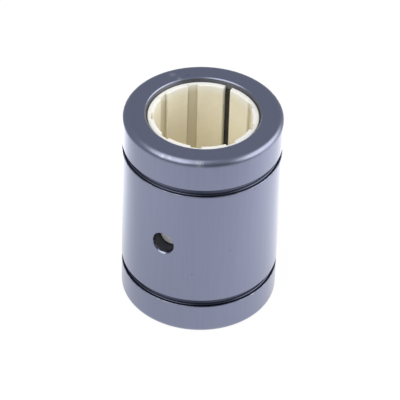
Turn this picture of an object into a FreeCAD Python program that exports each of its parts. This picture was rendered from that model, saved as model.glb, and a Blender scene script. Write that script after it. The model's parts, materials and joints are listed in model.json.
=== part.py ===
import FreeCAD, Part

import math
import os

import Sketcher

# Closed linear plain bearing for a 16 mm shaft, in millimetres: an anodised aluminium adapter shell with two
# retaining ring grooves, and a slit polymer liner that a boss on its back holds in the shell.
# +Z runs along the shaft. The origin is the centre of the lower end face. The securing hole of the shell and the
# boss of the liner point to -Y, and the slit of the liner to +Y.

# Driving dimensions: name, value, what it measures. Radii and walls build up from the shaft outwards.
SIZES = [
    ("shaft_diameter", 16.0, "nominal diameter of the shaft"),
    ("shaft_clearance", 0.03, "radial running clearance between shaft and pads"),
    ("liner_wall", 0.95, "thickness of the liner at its pads"),
    ("liner_seat_clearance", 0.02, "radial gap between the liner's back and the shell's bore"),
    ("shell_wall", 4.0, "thickness of the shell"),
    ("shell_length", 36.0, "overall length of the bearing"),
    ("shell_edge_radius", 1.0, "rounding of the shell's outer end edges"),
    ("lead_in_width", 0.35, "how far the taper that lets the liner slide in widens both ends of the shell's bore"),
    ("lead_in_depth", 1.0, "how deep that taper is"),
    ("mouth_edge_break", 0.15, "45 degree broken edge between that taper and the end face"),
    ("ring_groove_span", 24.6, "length over the outer walls of both retaining ring grooves"),
    ("ring_groove_width", 1.3, "width of a retaining ring groove"),
    ("ring_groove_depth", 0.55, "depth of a retaining ring groove below the shell's outside"),
    ("ring_groove_edge_break", 0.1, "broken edge at both lips of a retaining ring groove"),
    ("securing_hole_diameter", 3.8, "radial hole in the shell that takes the liner's boss"),
    ("securing_hole_chamfer", 0.2, "how much wider than the hole its countersink is, all round"),
    ("securing_hole_chamfer_angle", 90.0, "included angle of the countersink, in degrees"),
    ("liner_end_recess", 0.6, "how far the liner's ends lie inside the shell's ends"),
    ("liner_end_break", 0.1, "broken inner edge at both ends of the liner"),
    ("pad_count", 9, "sliding pads round the liner's bore"),
    ("pad_edge_radius", 0.2, "rounding of the long edges of a pad"),
    ("dirt_groove_width", 1.7, "width of the groove between two pads"),
    ("dirt_groove_depth", 0.42, "depth of that groove below the pads"),
    ("slit_width", 1.2, "width of the slit through the liner's wall, between two pads"),
    ("boss_clearance", 0.05, "radial gap between the boss and the securing hole"),
    ("boss_height", 1.6, "how far the boss stands out of the liner's back"),
    ("boss_edge_radius", 0.2, "rounding of the boss's outer edge"),
]

# Radii that follow from them
PAD_RADIUS = "(Sizes.shaft_diameter / 2 + Sizes.shaft_clearance)"
BACK_RADIUS = f"({PAD_RADIUS} + Sizes.liner_wall)"
SEAT_RADIUS = f"({BACK_RADIUS} + Sizes.liner_seat_clearance)"
OUTER_RADIUS = f"({SEAT_RADIUS} + Sizes.shell_wall)"
HOLE_RADIUS = "(Sizes.securing_hole_diameter / 2)"
BOSS_RADIUS = f"({HOLE_RADIUS} - Sizes.boss_clearance)"

# Levels along the shaft
MIDDLE = "(Sizes.shell_length / 2)"
LOWER_GROOVE = f"({MIDDLE} - Sizes.ring_groove_span / 2)"

UP = FreeCAD.Vector(0, 0, 1)
BOSS_WAY = FreeCAD.Vector(0, -1, 0)

# An edge within this distance of its nominal place is the edge that is meant
PICK_TOLERANCE = 0.001


def make_sheet(doc):
    """Writes the driving dimensions into a spreadsheet, one named cell each."""
    sheet = doc.addObject("Spreadsheet::Sheet", "Sizes")
    for row, (name, value, meaning) in enumerate(SIZES, start=1):
        sheet.set(f"A{row}", name)
        sheet.set(f"B{row}", str(value))
        sheet.set(f"C{row}", meaning)
        sheet.setAlias(f"B{row}", name)
    doc.recompute()
    return sheet


def origin_feature(body, role):
    """The plane or axis of the body's own origin that has the given role."""
    return next(feature for feature in body.Origin.OriginFeatures if feature.Role == role)


def new_sketch(body, name, plane, lift="0", turn="0"):
    """A sketch on one of the body's origin planes, lifted along its normal and turned in that plane."""
    sketch = body.newObject("Sketcher::SketchObject", name)
    sketch.AttachmentSupport = [(origin_feature(body, plane), "")]
    sketch.MapMode = "FlatFace"
    # the turn needs its axis before its angle can follow a formula
    sketch.AttachmentOffset = FreeCAD.Placement(FreeCAD.Vector(), FreeCAD.Rotation(UP, 1))
    sketch.setExpression("AttachmentOffset.Base.z", lift)
    sketch.setExpression("AttachmentOffset.Rotation.Angle", turn)
    return sketch


def bind(sketch, constraint, formula):
    """Adds a dimension to the sketch and ties it to a formula."""
    index = sketch.addConstraint(constraint)
    sketch.setExpression(f"Constraints[{index}]", formula)


def add_circle(sketch, radius, height=None):
    """A circle round the sketch's origin, or on its vertical axis at a height above the origin."""
    circle = sketch.addGeometry(Part.Circle(FreeCAD.Vector(0, 1, 0), UP, 1.0), False)
    bind(sketch, Sketcher.Constraint("Radius", circle, 1.0), radius)
    if height is None:
        sketch.addConstraint(Sketcher.Constraint("Coincident", circle, 3, -1, 1))
    else:
        sketch.addConstraint(Sketcher.Constraint("PointOnObject", circle, 3, -2))
        bind(sketch, Sketcher.Constraint("DistanceY", -1, 1, circle, 3, 1.0), height)


def add_rectangle(sketch):
    """Four joined lines, two level and two upright. Returns the bottom, right, top and left line."""
    corners = [FreeCAD.Vector(x, y, 0) for x, y in ((1, 1), (2, 1), (2, 2), (1, 2))]
    ends = corners[1:] + corners[:1]
    lines = [sketch.addGeometry(Part.LineSegment(start, end), False) for start, end in zip(corners, ends)]
    for line, following in zip(lines, lines[1:] + lines[:1]):
        sketch.addConstraint(Sketcher.Constraint("Coincident", line, 2, following, 1))
    for line, direction in zip(lines, ("Horizontal", "Vertical", "Horizontal", "Vertical")):
        sketch.addConstraint(Sketcher.Constraint(direction, line))
    return lines


def add_turned_outline(sketch, sheet, corners):
    """A closed outline beside the turning axis, its corners given by radius and by level or None for the ground."""
    places = [
        FreeCAD.Vector(sheet.evalExpression(radius), sheet.evalExpression(level or "0"), 0)
        for radius, level in corners
    ]
    ends = places[1:] + places[:1]
    lines = [sketch.addGeometry(Part.LineSegment(start, end), False) for start, end in zip(places, ends)]
    for line, following in zip(lines, lines[1:] + lines[:1]):
        sketch.addConstraint(Sketcher.Constraint("Coincident", line, 2, following, 1))
    for line, (radius, level) in zip(lines, corners):
        bind(sketch, Sketcher.Constraint("DistanceX", -1, 1, line, 1, 1.0), radius)
        if level is None:
            sketch.addConstraint(Sketcher.Constraint("PointOnObject", line, 1, -1))
        else:
            bind(sketch, Sketcher.Constraint("DistanceY", -1, 1, line, 1, 1.0), level)


def add_ring_section(sketch, inner_radius, outer_radius, low, height):
    """A rectangle beside the turning axis, between two radii, standing on a low level."""
    bottom, right, _, _ = add_rectangle(sketch)
    bind(sketch, Sketcher.Constraint("DistanceX", -1, 1, bottom, 1, 1.0), inner_radius)
    bind(sketch, Sketcher.Constraint("DistanceX", -1, 1, bottom, 2, 2.0), outer_radius)
    bind(sketch, Sketcher.Constraint("DistanceY", -1, 1, bottom, 1, 1.0), low)
    bind(sketch, Sketcher.Constraint("DistanceY", right, 1, right, 2, 1.0), height)


def add_slot(sketch, width, near, far):
    """A rectangle across the sketch's vertical axis, from a near to a far distance from the origin."""
    bottom, _, top, _ = add_rectangle(sketch)
    bind(sketch, Sketcher.Constraint("DistanceX", bottom, 1, -1, 1, 1.0), f"{width} / 2")
    bind(sketch, Sketcher.Constraint("DistanceX", bottom, 1, bottom, 2, 1.0), width)
    bind(sketch, Sketcher.Constraint("DistanceY", -1, 1, bottom, 1, 1.0), near)
    bind(sketch, Sketcher.Constraint("DistanceY", -1, 1, top, 1, 2.0), far)


def round_edges(sheet, feature, radius, axis, levels=None):
    """Names of the circular edges with this radius and axis, on any of the levels if some are given."""
    wanted = sheet.evalExpression(radius)
    heights = [sheet.evalExpression(level) for level in levels or []]
    return [
        f"Edge{number}"
        for number, edge in enumerate(feature.Shape.Edges, start=1)
        if isinstance(edge.Curve, Part.Circle)
        and abs(edge.Curve.Radius - wanted) < PICK_TOLERANCE
        and abs(edge.Curve.Axis.dot(axis)) > 1 - PICK_TOLERANCE
        and (not heights or any(abs(edge.Curve.Center.z - height) < PICK_TOLERANCE for height in heights))
    ]


def long_edges(sheet, feature, radius):
    """Names of the straight edges that run along the shaft at this distance from its axis."""
    wanted = sheet.evalExpression(radius)
    return [
        f"Edge{number}"
        for number, edge in enumerate(feature.Shape.Edges, start=1)
        if isinstance(edge.Curve, Part.Line)
        and abs(edge.Curve.Direction.dot(UP)) > 1 - PICK_TOLERANCE
        and abs(math.hypot(edge.CenterOfMass.x, edge.CenterOfMass.y) - wanted) < PICK_TOLERANCE
    ]


def finish_feature(body, feature):
    """Makes the feature the body's last one and brings the document up to date."""
    body.Tip = feature
    body.Document.recompute()
    return feature


def finish_cut(body, feature):
    """Does the same for a cut, and stops if it took nothing away, as a cut that points outwards does."""
    finish_feature(body, feature)
    if feature.BaseFeature.Shape.Volume - feature.Shape.Volume < PICK_TOLERANCE:
        raise RuntimeError(f"{feature.Label} removed no material")
    return feature


def add_turned(body, kind, name, section):
    """Turns a section round the shaft's axis, as a Revolution or as a Groove."""
    feature = body.newObject(f"PartDesign::{kind}", name)
    feature.Profile = section
    feature.ReferenceAxis = (section, ["V_Axis"])
    return feature


def add_fillet(body, name, base, edges, radius):
    """Rounds edges of the base feature."""
    fillet = body.newObject("PartDesign::Fillet", name)
    fillet.Base = (base, edges)
    fillet.setExpression("Radius", radius)
    return finish_feature(body, fillet)


def add_chamfer(body, name, base, edges, size):
    """Chamfers edges of the base feature at 45 degrees."""
    chamfer = body.newObject("PartDesign::Chamfer", name)
    chamfer.Base = (base, edges)
    chamfer.setExpression("Size", size)
    return finish_feature(body, chamfer)


def add_upright_cut(body, name, outline):
    """Cuts an outline upwards through the whole body."""
    pocket = body.newObject("PartDesign::Pocket", name)
    pocket.Profile = outline
    pocket.Type = "ThroughAll"
    pocket.Reversed = True
    return finish_cut(body, pocket)


def add_ring_grooves(body, sheet, base):
    """Turns the lower retaining ring groove, repeats it at the upper end and breaks the four lips."""
    section = new_sketch(body, "ring_groove_section", "XZ_Plane")
    floor = f"{OUTER_RADIUS} - Sizes.ring_groove_depth"
    clear = f"{OUTER_RADIUS} + Sizes.ring_groove_depth"
    add_ring_section(section, floor, clear, LOWER_GROOVE, "Sizes.ring_groove_width")
    lower = finish_cut(body, add_turned(body, "Groove", "lower_ring_groove", section))

    both = body.newObject("PartDesign::LinearPattern", "ring_grooves")
    both.Originals = [lower]
    both.Direction = (origin_feature(body, "Z_Axis"), [""])
    both.Occurrences = 2
    both.setExpression("Length", "Sizes.ring_groove_span - Sizes.ring_groove_width")
    finish_cut(body, both)

    upper_top = f"({LOWER_GROOVE} + Sizes.ring_groove_span)"
    lips = (
        LOWER_GROOVE,
        f"{LOWER_GROOVE} + Sizes.ring_groove_width",
        f"{upper_top} - Sizes.ring_groove_width",
        upper_top,
    )
    edges = round_edges(sheet, both, OUTER_RADIUS, UP, lips)
    return add_chamfer(body, "ring_groove_edge_breaks", both, edges, "Sizes.ring_groove_edge_break")


def add_securing_hole(body):
    """Drills and countersinks the radial hole from the outside, at half length, as far as the bore."""
    centre = new_sketch(body, "securing_hole_centre", "XZ_Plane", lift=OUTER_RADIUS)
    add_circle(centre, HOLE_RADIUS, height=MIDDLE)
    body.Document.recompute()
    hole = body.newObject("PartDesign::Hole", "securing_hole")
    hole.Profile = centre
    hole.DepthType = "Dimension"
    hole.DrillPoint = "Flat"
    hole.HoleCutType = "Countersink"
    hole.HoleCutCustomValues = True
    hole.setExpression("Depth", OUTER_RADIUS)
    hole.setExpression("Diameter", "Sizes.securing_hole_diameter")
    hole.setExpression("HoleCutDiameter", "Sizes.securing_hole_diameter + 2 * Sizes.securing_hole_chamfer")
    hole.setExpression("HoleCutCountersinkAngle", "Sizes.securing_hole_chamfer_angle")
    return finish_cut(body, hole)


def make_shell(doc, sheet):
    """The turned adapter shell: a tube with tapered bore mouths, rounded ends, ring grooves and securing hole."""
    body = doc.addObject("PartDesign::Body", "adapter_shell")
    wide = f"{SEAT_RADIUS} + Sizes.lead_in_width"
    mouth = f"{wide} + Sizes.mouth_edge_break"
    taper_end = "(Sizes.mouth_edge_break + Sizes.lead_in_depth)"
    corners = (
        (mouth, None),
        (OUTER_RADIUS, None),
        (OUTER_RADIUS, "Sizes.shell_length"),
        (mouth, "Sizes.shell_length"),
        (wide, "Sizes.shell_length - Sizes.mouth_edge_break"),
        (SEAT_RADIUS, f"Sizes.shell_length - {taper_end}"),
        (SEAT_RADIUS, taper_end),
        (wide, "Sizes.mouth_edge_break"),
    )
    section = new_sketch(body, "shell_section", "XZ_Plane")
    add_turned_outline(section, sheet, corners)
    tube = finish_feature(body, add_turned(body, "Revolution", "shell_tube", section))

    edges = round_edges(sheet, tube, OUTER_RADIUS, UP)
    rounded = add_fillet(body, "shell_end_rounding", tube, edges, "Sizes.shell_edge_radius")
    add_ring_grooves(body, sheet, rounded)
    add_securing_hole(body)
    return body


def add_pads(body):
    """Cuts the dirt grooves and the slit that part the liner's bore into equal pads."""
    start = "Sizes.liner_end_recess"
    inside = "Sizes.shaft_diameter / 4"

    # the groove next to the slit, repeated in every gap between two pads except the slit's
    outline = new_sketch(body, "dirt_groove_outline", "XY_Plane", lift=start, turn="360 / Sizes.pad_count")
    add_slot(outline, "Sizes.dirt_groove_width", inside, f"{PAD_RADIUS} + Sizes.dirt_groove_depth")
    first = add_upright_cut(body, "dirt_groove", outline)
    grooves = body.newObject("PartDesign::PolarPattern", "dirt_grooves")
    grooves.Originals = [first]
    grooves.Axis = (origin_feature(body, "Z_Axis"), [""])
    grooves.setExpression("Occurrences", "Sizes.pad_count - 1")
    grooves.setExpression("Angle", "360 * (Sizes.pad_count - 2) / Sizes.pad_count")
    finish_cut(body, grooves)

    outline = new_sketch(body, "slit_outline", "XY_Plane", lift=start)
    add_slot(outline, "Sizes.slit_width", inside, f"{BACK_RADIUS} + Sizes.liner_wall")
    return add_upright_cut(body, "slit", outline)


def add_boss(body, sheet):
    """The round boss on the liner's back, which starts in the middle of the liner's wall."""
    root = f"({PAD_RADIUS} + Sizes.liner_wall / 2)"
    outline = new_sketch(body, "boss_outline", "XZ_Plane", lift=root)
    add_circle(outline, BOSS_RADIUS, height=MIDDLE)
    boss = body.newObject("PartDesign::Pad", "boss")
    boss.Profile = outline
    boss.setExpression("Length", f"{BACK_RADIUS} + Sizes.boss_height - {root}")
    finish_feature(body, boss)
    edges = round_edges(sheet, boss, BOSS_RADIUS, BOSS_WAY)
    return add_fillet(body, "boss_edge", boss, edges, "Sizes.boss_edge_radius")


def make_liner(doc, sheet):
    """The moulded liner: a slit sleeve with pads and dirt grooves inside and a boss on its back."""
    body = doc.addObject("PartDesign::Body", "slotted_liner")
    # turned a quarter, so that the circles start and end where the slit is
    ring = new_sketch(body, "liner_ring", "XY_Plane", lift="Sizes.liner_end_recess", turn="90")
    add_circle(ring, BACK_RADIUS)
    add_circle(ring, PAD_RADIUS)
    sleeve = body.newObject("PartDesign::Pad", "liner_sleeve")
    sleeve.Profile = ring
    sleeve.setExpression("Length", "Sizes.shell_length - 2 * Sizes.liner_end_recess")
    finish_feature(body, sleeve)

    edges = round_edges(sheet, sleeve, PAD_RADIUS, UP)
    add_chamfer(body, "liner_end_breaks", sleeve, edges, "Sizes.liner_end_break")
    slit = add_pads(body)
    add_fillet(body, "pad_edges", slit, long_edges(sheet, slit, PAD_RADIUS), "Sizes.pad_edge_radius")
    add_boss(body, sheet)
    return body


def check(doc, bodies):
    """Stops if any object failed to recompute or a finished body isn't one valid solid."""
    for item in doc.Objects:
        if {"Invalid", "Error"} & set(item.State):
            raise RuntimeError(f"{item.Label} did not recompute: {item.State}")
    for body in bodies:
        if body.Shape.isNull() or not body.Shape.isValid() or len(body.Shape.Solids) != 1:
            raise RuntimeError(f"{body.Label} is not one valid solid")


def main():
    """Builds both pieces, checks them and writes one STEP file for each."""
    doc = FreeCAD.newDocument("linear_plain_bearing")
    sheet = make_sheet(doc)
    bodies = [make_shell(doc, sheet), make_liner(doc, sheet)]
    for body in bodies:
        body.Placement = FreeCAD.Placement()
    doc.recompute()
    check(doc, bodies)
    os.makedirs("parts", exist_ok=True)
    for body in bodies:
        body.Shape.exportStep(os.path.join("parts", f"{body.Label}.step"))
        print(f"{body.Label}: {body.Shape.Volume:.2f} mm3, {len(body.Shape.Faces)} faces")


main()
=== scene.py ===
"""Looks of a closed linear plain bearing for a 16 mm shaft.

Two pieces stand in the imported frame: a turned and anodised adapter shell, and a cream polymer liner whose
boss sits in the shell's securing hole. Both are worked out here as finer surfaces and stand for the frame's
own nodes. +Z runs along the shaft, the bearing stands on its lower end face, the securing hole points to -Y
and the liner's slit to +Y. Lengths are in metres and angles in radians, unless a name says otherwise.
"""

import json
import logging
import math
from collections.abc import Sequence
from dataclasses import dataclass, field
from enum import Enum

import bmesh
import bpy
import numpy as np
from mathutils import Matrix, Vector


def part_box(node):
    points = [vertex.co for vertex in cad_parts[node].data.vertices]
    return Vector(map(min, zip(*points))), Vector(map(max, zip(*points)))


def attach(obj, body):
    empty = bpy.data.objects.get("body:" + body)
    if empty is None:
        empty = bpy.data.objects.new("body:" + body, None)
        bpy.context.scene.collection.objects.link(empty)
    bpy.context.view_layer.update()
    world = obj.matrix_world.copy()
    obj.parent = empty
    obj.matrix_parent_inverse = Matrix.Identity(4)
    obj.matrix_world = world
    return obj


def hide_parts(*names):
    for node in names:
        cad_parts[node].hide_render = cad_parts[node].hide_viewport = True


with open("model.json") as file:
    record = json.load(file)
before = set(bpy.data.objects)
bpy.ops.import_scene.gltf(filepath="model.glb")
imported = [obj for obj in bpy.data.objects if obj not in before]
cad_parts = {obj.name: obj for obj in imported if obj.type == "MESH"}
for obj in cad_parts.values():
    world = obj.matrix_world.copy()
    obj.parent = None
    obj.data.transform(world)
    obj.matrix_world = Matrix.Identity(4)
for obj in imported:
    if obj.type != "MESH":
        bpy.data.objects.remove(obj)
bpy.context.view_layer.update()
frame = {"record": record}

MM = 0.001
FULL_TURN = 2 * math.pi
QUARTER_TURN = math.pi / 2

# Points closer together than this are one point, far below the finest cell of either piece
MERGE_DISTANCE = 0.0001 * MM

# Edges that turn more than this stay crisp
CRISP_ANGLE = math.radians(32)

# An outline that turns this much at a point has a full edge there
EDGE_BEND = math.radians(10)

# Nearly all of a noise lies between these values
NOISE_LOW, NOISE_HIGH = 0.3, 0.7

# A rubbed patch is full where its noise is this far past the value at which the patch begins
PATCH_BLUR = 0.2

Array = np.ndarray
Colour = tuple[float, float, float, float]
Tint = tuple[float, float, float]
Socket = bpy.types.NodeSocket
Inputs = dict[str | int, object]
log = logging.getLogger("linear_plain_bearing")


def tinted(tint: Tint, strength: float) -> Colour:
    """A colour of light: a tint times a strength."""
    return (*(part * strength for part in tint), 1.0)


# Tints of the studio's light
WHITE = (1.0, 1.0, 1.0)
WARM = (1.0, 0.982, 0.90)
COOL = (0.965, 0.99, 1.05)


class Mark(Enum):
    """What a number stored at every point of a piece tells its material, from 0 to 1."""

    # Rubbed edges, and painted highlights on the shell's groove lips and the liner's pad edges
    EDGE = "edge"
    # Where the metal is dull and carries painted shade
    RECESS = "recess"
    CUT = "cut_face"
    # The bore, its mouths and the hole: dull, and carrying painted shade
    BORE = "bore_wall"
    THIN = "thin_wall"
    # Painted light on the liner's end faces and their edges, fading as a painted glow down the wall below
    END = "end_face"
    BOSS = "boss_face"


Marks = dict[Mark, Array | float]


class Surface:
    """Gathers the patches of one piece as whole arrays of points and marks, and makes its mesh.

    Patches that meet share the places of their points, so the seams close when equal points are merged.
    """

    def __init__(self) -> None:
        """Starts with no patch."""
        self.points: list[Array] = []
        self.marks: dict[Mark, list[Array]] = {mark: [] for mark in Mark}
        self.faces: list[Array] = []
        self.count = 0

    def add_patch(self, points: Array, marks: Marks | None = None) -> None:
        """Adds a grid of points and the quads between its neighbouring rows and columns.

        Args:
            points: places of the points, as rows x columns x 3.
            marks: numbers that spread over the grid, for the marks that aren't zero on it.
        """
        rows, columns = points.shape[:2]
        numbers = self.count + np.arange(rows * columns).reshape(rows, columns)
        corners = [numbers[:-1, :-1], numbers[:-1, 1:], numbers[1:, 1:], numbers[1:, :-1]]
        self.points.append(points.reshape(-1, 3))
        self.faces.append(np.stack(corners, axis=-1).reshape(-1, 4))
        for mark, parts in self.marks.items():
            parts.append(np.broadcast_to((marks or {}).get(mark, 0.0), (rows, columns)).ravel())
        self.count += rows * columns

    def add_mirrored(self, points: Array, level: float, marks: Marks) -> None:
        """Adds a patch and its mirror image below a level."""
        self.add_patch(points, marks)
        self.add_patch(points * [1, 1, -1] + [0, 0, 2 * level], marks)

    def build(self, name: str) -> bpy.types.Object:
        """Merges equal points, turns the faces outwards and makes the piece.

        Args:
            name: the piece's name.

        Returns:
            The piece, at the origin, with one float attribute for each mark.
        """
        mesh = bpy.data.meshes.new(name)
        mesh.from_pydata(np.concatenate(self.points).tolist(), [], np.concatenate(self.faces).tolist())
        for mark, parts in self.marks.items():
            layer = mesh.attributes.new(mark.value, "FLOAT", "POINT")
            layer.data.foreach_set("value", np.concatenate(parts).astype(np.float32))
        closed = bmesh.new()
        closed.from_mesh(mesh)
        bmesh.ops.remove_doubles(closed, verts=closed.verts, dist=MERGE_DISTANCE)
        bmesh.ops.recalc_face_normals(closed, faces=closed.faces)
        closed.to_mesh(mesh)
        closed.free()
        mesh.shade_smooth()
        mesh.set_sharp_from_angle(angle=CRISP_ANGLE)
        piece = bpy.data.objects.new(name, mesh)
        bpy.context.scene.collection.objects.link(piece)
        return piece


def unit(vectors: Array) -> Array:
    """Scales each vector in the last axis to a length of one."""
    return vectors / np.linalg.norm(vectors, axis=-1, keepdims=True)


def ease(cells: int) -> Array:
    """Shares from 0 to 1, closest together at both ends: (1 - cos(pi k / cells)) / 2."""
    return (1 - np.cos(math.pi * np.arange(cells + 1) / cells)) / 2


def swing(start: Array, end: Array, turn: Array, cells: int) -> Array:
    """Points on arcs about the origin, evenly from each start to its end.

    At share s the point is (sin((1 - s) turn) start + sin(s turn) end) / sin(turn).

    Args:
        start: arcs x 2, from the arcs' centres to where they begin.
        end: arcs x 2, to where they end.
        turn: angle of each arc.
        cells: steps along each arc.

    Returns:
        arcs x (cells + 1) x 2 points.
    """
    share = np.linspace(0, 1, cells + 1)[None, :, None]
    turn = turn[:, None, None]
    from_start, to_end = np.sin((1 - share) * turn) * start[:, None], np.sin(share * turn) * end[:, None]
    return (from_start + to_end) / np.sin(turn)


@dataclass(frozen=True)
class RoundedPath:
    """An open path of straight runs whose inner corners are rounded by arcs.

    Attributes:
        corners: n x 2 places, the two ends included.
        radii: rounding of each of the n - 2 inner corners.
        arc_cells: steps along each arc.
        run_cells: steps along each run, closest together at its ends.
    """

    corners: Array
    radii: Array
    arc_cells: int
    run_cells: int

    def points(self) -> Array:
        """Places along the path, with every run and arc computed at once.

        An arc touches both runs at radius / tan(half the inner angle) from its corner, and its centre lies
        on the line that halves the angle, at radius / sin(half the inner angle).

        Returns:
            m x 2 places.
        """
        corner = self.corners[1:-1]
        before, after = unit(self.corners[:-2] - corner), unit(self.corners[2:] - corner)
        inner = np.arccos(np.sum(before * after, axis=1))
        touch = (self.radii / np.tan(inner / 2))[:, None]
        centre = corner + unit(before + after) * (self.radii / np.sin(inner / 2))[:, None]
        begin, stop = corner + before * touch, corner + after * touch
        arcs = centre[:, None] + swing(begin - centre, stop - centre, math.pi - inner, self.arc_cells)
        starts = np.concatenate([self.corners[:1], stop])
        ends = np.concatenate([begin, self.corners[-1:]])
        runs = starts[:, None] + (ends - starts)[:, None] * ease(self.run_cells)[None, 1:-1, None]
        return np.concatenate([starts[:1], self.interleave(runs, arcs), ends[-1:]])

    def interleave(self, runs: Array, arcs: Array) -> Array:
        """Puts values on the runs and on the arcs between them into one row along the path."""
        pairs = np.concatenate([runs[:-1], arcs], axis=1)
        return np.concatenate([pairs.reshape(-1, *pairs.shape[2:]), runs[-1]])

    def mark_runs(self, values: Sequence[float]) -> Array:
        """A number for each run, which blends evenly over the arcs between them.

        Args:
            values: a number for each run.

        Returns:
            m x 1 numbers, one for each place along the path.
        """
        value = np.asarray(values, float)
        runs = np.repeat(value[:, None], self.run_cells - 1, axis=1)
        arcs = np.linspace(value[:-1], value[1:], self.arc_cells + 1, axis=1)
        return np.concatenate([value[:1], self.interleave(runs, arcs), value[-1:]])[:, None]

    def mark_arcs(self, values: Sequence[float]) -> Array:
        """A number for each arc, which swells to it halfway along as a sine does, and is zero on the runs.

        Args:
            values: a number for each arc.

        Returns:
            m x 1 numbers, one for each place along the path.
        """
        value = np.asarray(values, float)
        swell = np.sin(math.pi * np.linspace(0, 1, self.arc_cells + 1))
        runs = np.zeros((len(value) + 1, self.run_cells - 1))
        return np.concatenate([[0.0], self.interleave(runs, value[:, None] * swell), [0.0]])[:, None]


@dataclass(frozen=True)
class RadialFeature:
    """A round hole or boss on the -Y side of a sleeve, built as rings about its own axis.

    Attributes:
        level: height of its axis.
        half_angle: half the angle, about the shaft, of the window it takes in the sleeve's grid.
        half_height: half that window's height.
        half_cells: cells of the sleeve's grid in half the window's side.
    """

    level: float
    half_angle: float
    half_height: float
    half_cells: int

    @property
    def share(self) -> Array:
        """Even shares of a turn about the feature's axis, with a step for each cell round the window."""
        return np.linspace(0, 1, 8 * self.half_cells + 1)

    def window(self, sleeve_radius: float) -> Array:
        """The window's outline on the sleeve, seen along the feature's axis.

        Each coordinate of a square that is walked round at an even pace is a triangle wave of height 2,
        clipped to 1.

        Args:
            sleeve_radius: radius of the wall that the window is in.

        Returns:
            n x 2 places, across and up from the feature's axis.
        """
        phase = np.stack([self.share, self.share - 0.25], axis=1)
        across, up = np.clip(2 - 8 * np.abs(phase - np.round(phase)), -1, 1).T
        return np.stack([sleeve_radius * np.sin(across * self.half_angle), up * self.half_height], axis=1)

    def circle(self, radius: float | Array) -> Array:
        """A round outline about the feature's axis, across and up from it."""
        turn = FULL_TURN * self.share
        return np.stack([radius * np.cos(turn), radius * np.sin(turn)], axis=-1)

    def place(self, outline: Array, reach: Array | float) -> Array:
        """Puts an outline into space, at a distance from the shaft's axis measured along -Y."""
        across, up = outline[..., 0], outline[..., 1]
        return np.stack([across, -np.broadcast_to(reach, across.shape), self.level + up], axis=-1)

    def wrap(self, outline: Array, sleeve_radius: float) -> Array:
        """Wraps an outline onto a sleeve: reach is the root of the radius squared less across squared."""
        return self.place(outline, np.sqrt(sleeve_radius**2 - outline[..., 0] ** 2))

    def web(self, rim: Array, sleeve_radius: float, cells: int) -> Array:
        """Rings on the sleeve in even steps, from the window's outline straight in to a rim.

        Args:
            rim: n x 2 outline that the web ends at.
            sleeve_radius: radius of the wall that the web lies on.
            cells: steps between window and rim.

        Returns:
            (cells + 1) x n x 3 points, the window's own first.
        """
        share = np.linspace(0, 1, cells + 1)[:, None, None]
        return self.wrap((1 - share) * self.window(sleeve_radius) + share * rim, sleeve_radius)


def lathe(path: Array, angles: Array) -> Array:
    """Turns a path of (radius, height) about the shaft's axis: x = r sin a, y = -r cos a, z = height.

    Args:
        path: m x 2 places.
        angles: angles from the -Y side.

    Returns:
        m x angles x 3 points.
    """
    radius, height = path[:, :1], path[:, 1:]
    return np.stack(np.broadcast_arrays(radius * np.sin(angles), -radius * np.cos(angles), height), axis=-1)


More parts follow.
